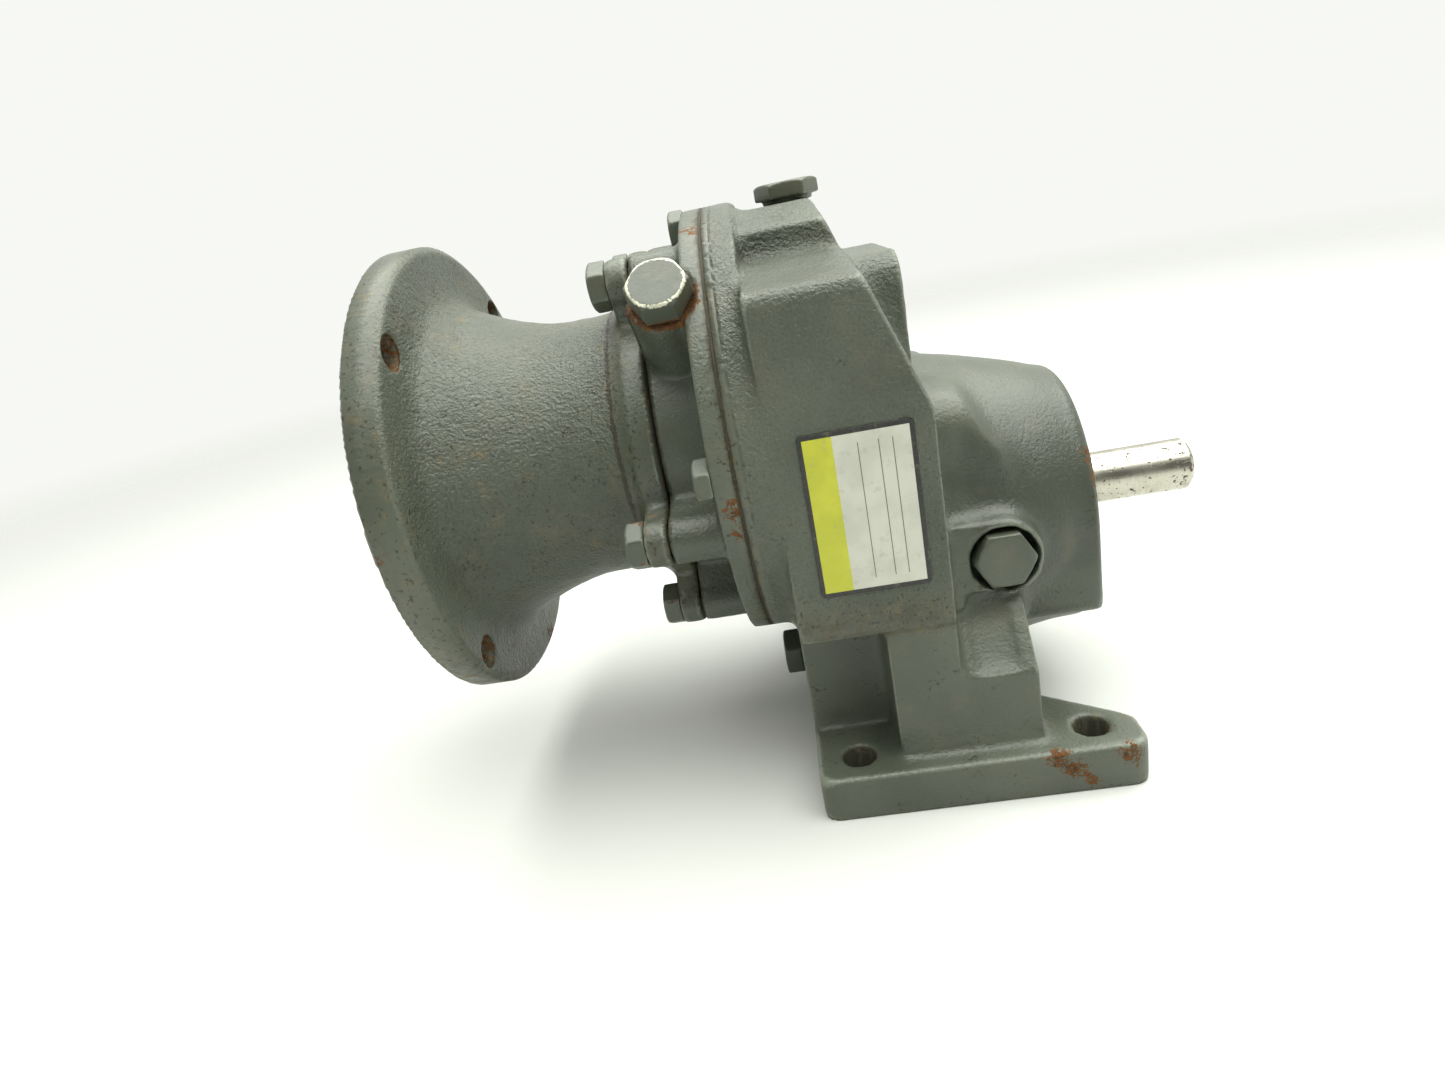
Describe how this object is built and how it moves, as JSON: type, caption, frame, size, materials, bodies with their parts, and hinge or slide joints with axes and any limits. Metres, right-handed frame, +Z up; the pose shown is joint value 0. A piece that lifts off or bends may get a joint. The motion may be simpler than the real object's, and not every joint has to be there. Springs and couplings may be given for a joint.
{
  "type": "inline gear reducer",
  "caption": "Foot-mounted inline helical gear reducer: face-mount motor adapter and hollow input at one end, solid output shaft at the other.",
  "frame": {"origin": "centre of the four foot bolt holes on the underside of the foot", "axes": "+X along the output shaft, out of the reducer; +Z up from the base; both shafts lie in the plane y = 0"},
  "size_m": [0.2703, 0.165, 0.2032],
  "materials": {
    "grey_paint": "worn machine-grey enamel over rough cast iron",
    "fasteners": "hex heads painted with the casting, worn at the corners",
    "shaft_steel": "ground steel with light surface rust",
    "bearing_steel": "polished bearing steel",
    "cage_brass": "pressed brass cage",
    "gear_steel": "hardened and ground gear steel",
    "black_steel": "blackened spring steel",
    "seal_rubber": "nitrile rubber lip seal",
    "gasket_fibre": "oil-soaked fibre gasket",
    "label": "printed film plate with plain bands and no lettering"
  },
  "bodies": {
    "case": {"housing": "grey_paint", "input_cover": "grey_paint", "motor_adapter": "grey_paint", "cover_gasket": "gasket_fibre", "adapter_gasket": "gasket_fibre", "cover_screws": "fasteners", "adapter_screws": "fasteners", "dowel_pins": "bearing_steel", "breather_plug": "fasteners", "fill_plug": "fasteners", "level_plug": "fasteners", "drain_plug": "fasteners", "nameplate": "label", "output_oil_seal": "seal_rubber", "output_bearing_snap_ring": "black_steel", "input_oil_seal": "seal_rubber", "output_front_outer_race": "bearing_steel", "output_rear_outer_race": "bearing_steel", "input_front_outer_race": "bearing_steel", "input_rear_outer_race": "bearing_steel"},
    "output": {"output_shaft": "shaft_steel", "output_gear": "gear_steel", "gear_key": "black_steel", "gear_spacer": "gear_steel", "gear_snap_ring": "black_steel", "output_front_inner_race": "bearing_steel", "output_rear_inner_race": "bearing_steel"},
    "input": {"input_pinion_shaft": "shaft_steel", "input_bearing_snap_ring": "black_steel", "input_front_inner_race": "bearing_steel", "input_rear_inner_race": "bearing_steel"},
    "output_front_rollers": {"output_front_cage": "cage_brass", "output_front_balls": "bearing_steel"},
    "output_rear_rollers": {"output_rear_cage": "cage_brass", "output_rear_balls": "bearing_steel"},
    "input_front_rollers": {"input_front_cage": "cage_brass", "input_front_balls": "bearing_steel"},
    "input_rear_rollers": {"input_rear_cage": "cage_brass", "input_rear_balls": "bearing_steel"}
  },
  "joints": [
    {"name": "output_shaft_spin", "type": "hinge", "parent": "case", "child": "output", "pos_m": [0, 0, 0.0762], "axis": [1, 0, 0], "continuous": true},
    {"name": "input_shaft_spin", "type": "hinge", "parent": "case", "child": "input", "pos_m": [0, 0, 0.12065], "axis": [1, 0, 0], "continuous": true},
    {"name": "output_front_cage_spin", "type": "hinge", "parent": "case", "child": "output_front_rollers", "pos_m": [0, 0, 0.0762], "axis": [1, 0, 0], "continuous": true},
    {"name": "output_rear_cage_spin", "type": "hinge", "parent": "case", "child": "output_rear_rollers", "pos_m": [0, 0, 0.0762], "axis": [1, 0, 0], "continuous": true},
    {"name": "input_front_cage_spin", "type": "hinge", "parent": "case", "child": "input_front_rollers", "pos_m": [0, 0, 0.12065], "axis": [1, 0, 0], "continuous": true},
    {"name": "input_rear_cage_spin", "type": "hinge", "parent": "case", "child": "input_rear_rollers", "pos_m": [0, 0, 0.12065], "axis": [1, 0, 0], "continuous": true}
  ],
  "couplings": [
    {"joint": "input_shaft_spin", "follows": "output_shaft_spin", "ratio": -5},
    {"joint": "output_front_cage_spin", "follows": "output_shaft_spin", "ratio": 0.397},
    {"joint": "output_rear_cage_spin", "follows": "output_shaft_spin", "ratio": 0.397},
    {"joint": "input_front_cage_spin", "follows": "output_shaft_spin", "ratio": -1.9825},
    {"joint": "input_rear_cage_spin", "follows": "output_shaft_spin", "ratio": -1.823}
  ]
}
